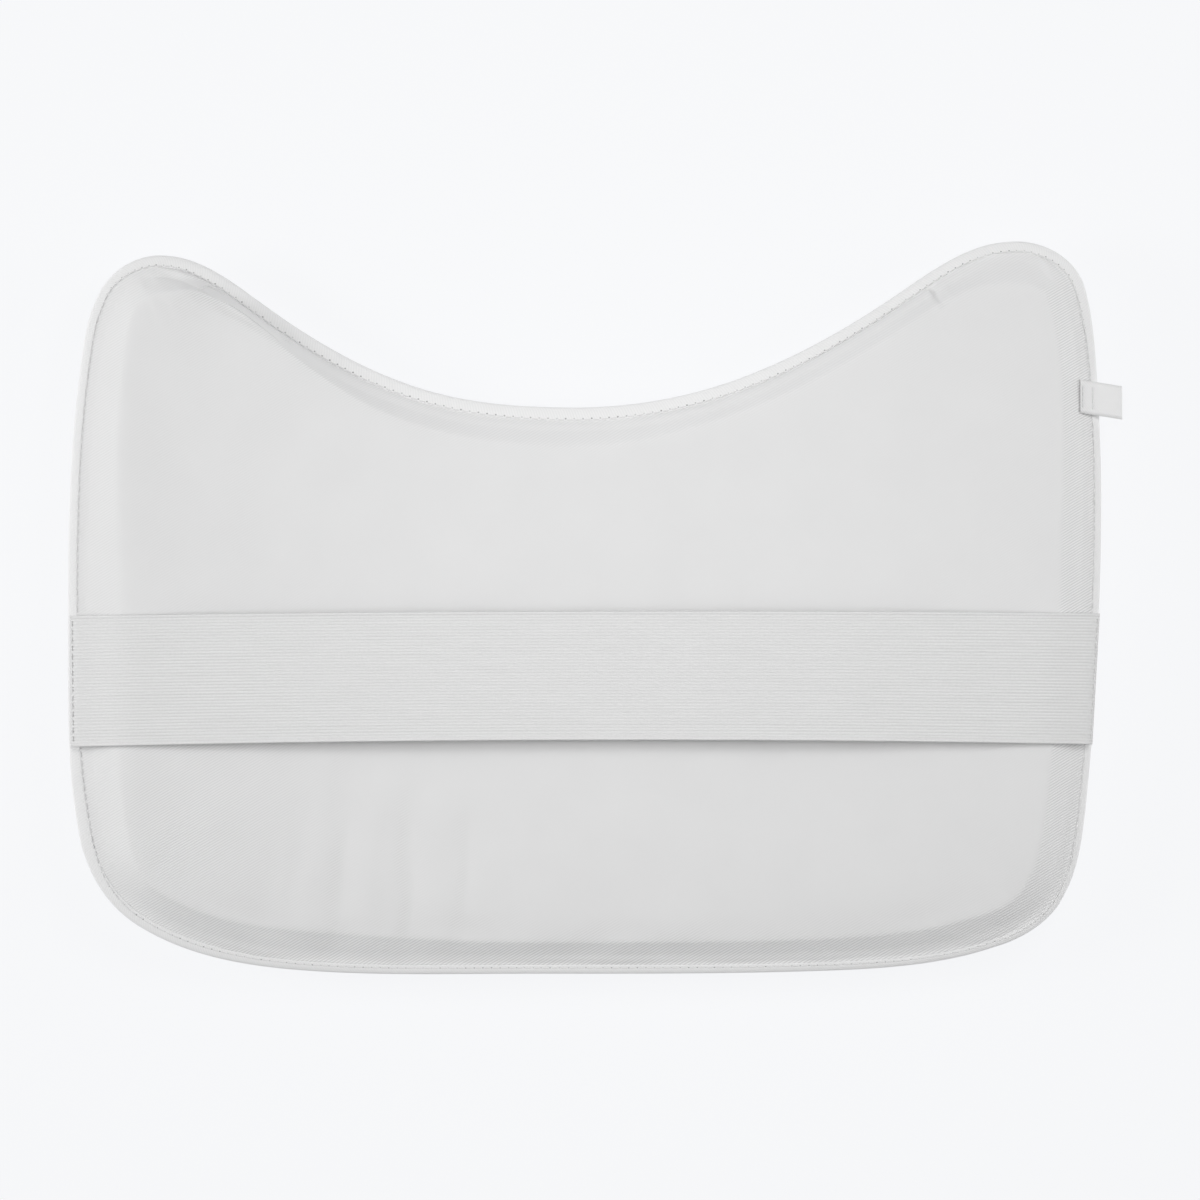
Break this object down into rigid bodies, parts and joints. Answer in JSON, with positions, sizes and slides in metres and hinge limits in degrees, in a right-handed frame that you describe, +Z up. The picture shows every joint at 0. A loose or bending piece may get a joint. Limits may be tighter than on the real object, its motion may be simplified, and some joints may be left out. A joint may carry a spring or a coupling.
{
  "type": "chest guard",
  "caption": "Padded white chest guard for sport with a neck scoop, a bound edge and a wide elastic strap across its body side, lying on its front.",
  "frame": {"origin": "middle of the guard's outer box, on the surface that its front lies on", "axes": "+X to the right as seen on the body side with the neck scoop away from the viewer, +Y towards the neck, +Z up out of the body side"},
  "size_m": [0.3246, 0.2262, 0.0273],
  "materials": {
    "cover_twill": "matt white cotton twill",
    "binding_twill": "matt white cotton twill, folded",
    "ribbed_elastic": "matt white ribbed woven elastic",
    "label_ribbon": "smooth white ribbon, blank"
  },
  "bodies": {
    "root": {"back_pad": "cover_twill", "front_pad": "cover_twill", "edge_binding": "binding_twill", "elastic_strap": "ribbed_elastic", "side_label": "label_ribbon"}
  },
  "joints": []
}
